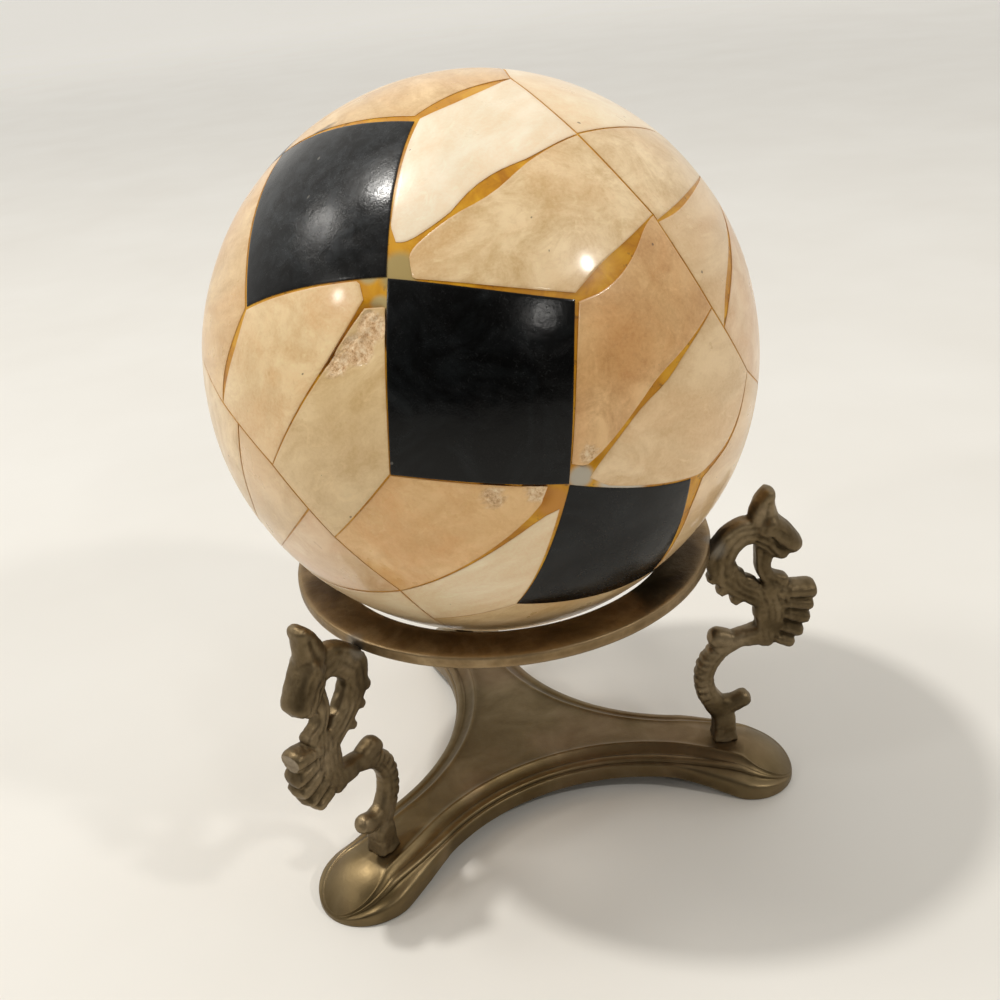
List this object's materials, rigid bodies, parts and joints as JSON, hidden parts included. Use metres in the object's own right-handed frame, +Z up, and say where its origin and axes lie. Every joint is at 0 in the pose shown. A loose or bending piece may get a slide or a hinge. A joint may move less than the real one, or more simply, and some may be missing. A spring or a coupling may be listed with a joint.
{
  "type": "decorative sphere",
  "caption": "Inlaid ball of cream bone and black horn tiles that rests loose in a flat brass ring, held up by openwork brass sea dragons on a three-armed foot",
  "frame": {"origin": "on the surface the foot stands on, under the middle of the object's bounding box, which lies a few millimetres in front of the stand's own axis", "axes": "+Z is up; +Y points to the back along the back arm of the foot; +X is to the right, and the other two arms point forward to the left and the right"},
  "size_m": [0.1091, 0.1107, 0.1436],
  "materials": {
    "aged_brass": "cast brass, aged brown and olive, worn paler on edges and high spots, with darker patina in the hollows",
    "amber_resin": "clear amber to brown resin that fills the joints, polished flush and lacquered",
    "black_horn": "black horn, polished and lacquered, with fine brushed scratches and faint grey clouds",
    "bone": "polished bone in cream, tan and peach with soft streaks, lacquered; small chips, pits and brown stains"
  },
  "bodies": {
    "root": {"foot": "aged_brass", "ring": "aged_brass", "back_dragon": "aged_brass", "left_dragon": "aged_brass", "right_dragon": "aged_brass", "ball_body": "amber_resin", "black_tile_1": "black_horn", "black_tile_2": "black_horn", "black_tile_3": "black_horn", "black_tile_4": "black_horn", "black_tile_5": "black_horn", "black_tile_6": "black_horn", "black_tile_7": "black_horn", "black_tile_8": "black_horn", "upper_bone_tile_01": "bone", "lower_bone_tile_01": "bone", "upper_bone_tile_02": "bone", "lower_bone_tile_02": "bone", "upper_bone_tile_03": "bone", "lower_bone_tile_03": "bone", "upper_bone_tile_04": "bone", "lower_bone_tile_04": "bone", "upper_bone_tile_05": "bone", "lower_bone_tile_05": "bone", "upper_bone_tile_06": "bone", "lower_bone_tile_06": "bone", "upper_bone_tile_07": "bone", "lower_bone_tile_07": "bone", "upper_bone_tile_08": "bone", "lower_bone_tile_08": "bone", "upper_bone_tile_09": "bone", "lower_bone_tile_09": "bone", "upper_bone_tile_10": "bone", "lower_bone_tile_10": "bone", "upper_bone_tile_11": "bone", "lower_bone_tile_11": "bone", "upper_bone_tile_12": "bone", "lower_bone_tile_12": "bone", "upper_bone_tile_13": "bone", "lower_bone_tile_13": "bone", "upper_bone_tile_14": "bone", "lower_bone_tile_14": "bone", "upper_bone_tile_15": "bone", "lower_bone_tile_15": "bone", "upper_bone_tile_16": "bone", "lower_bone_tile_16": "bone"}
  },
  "joints": []
}
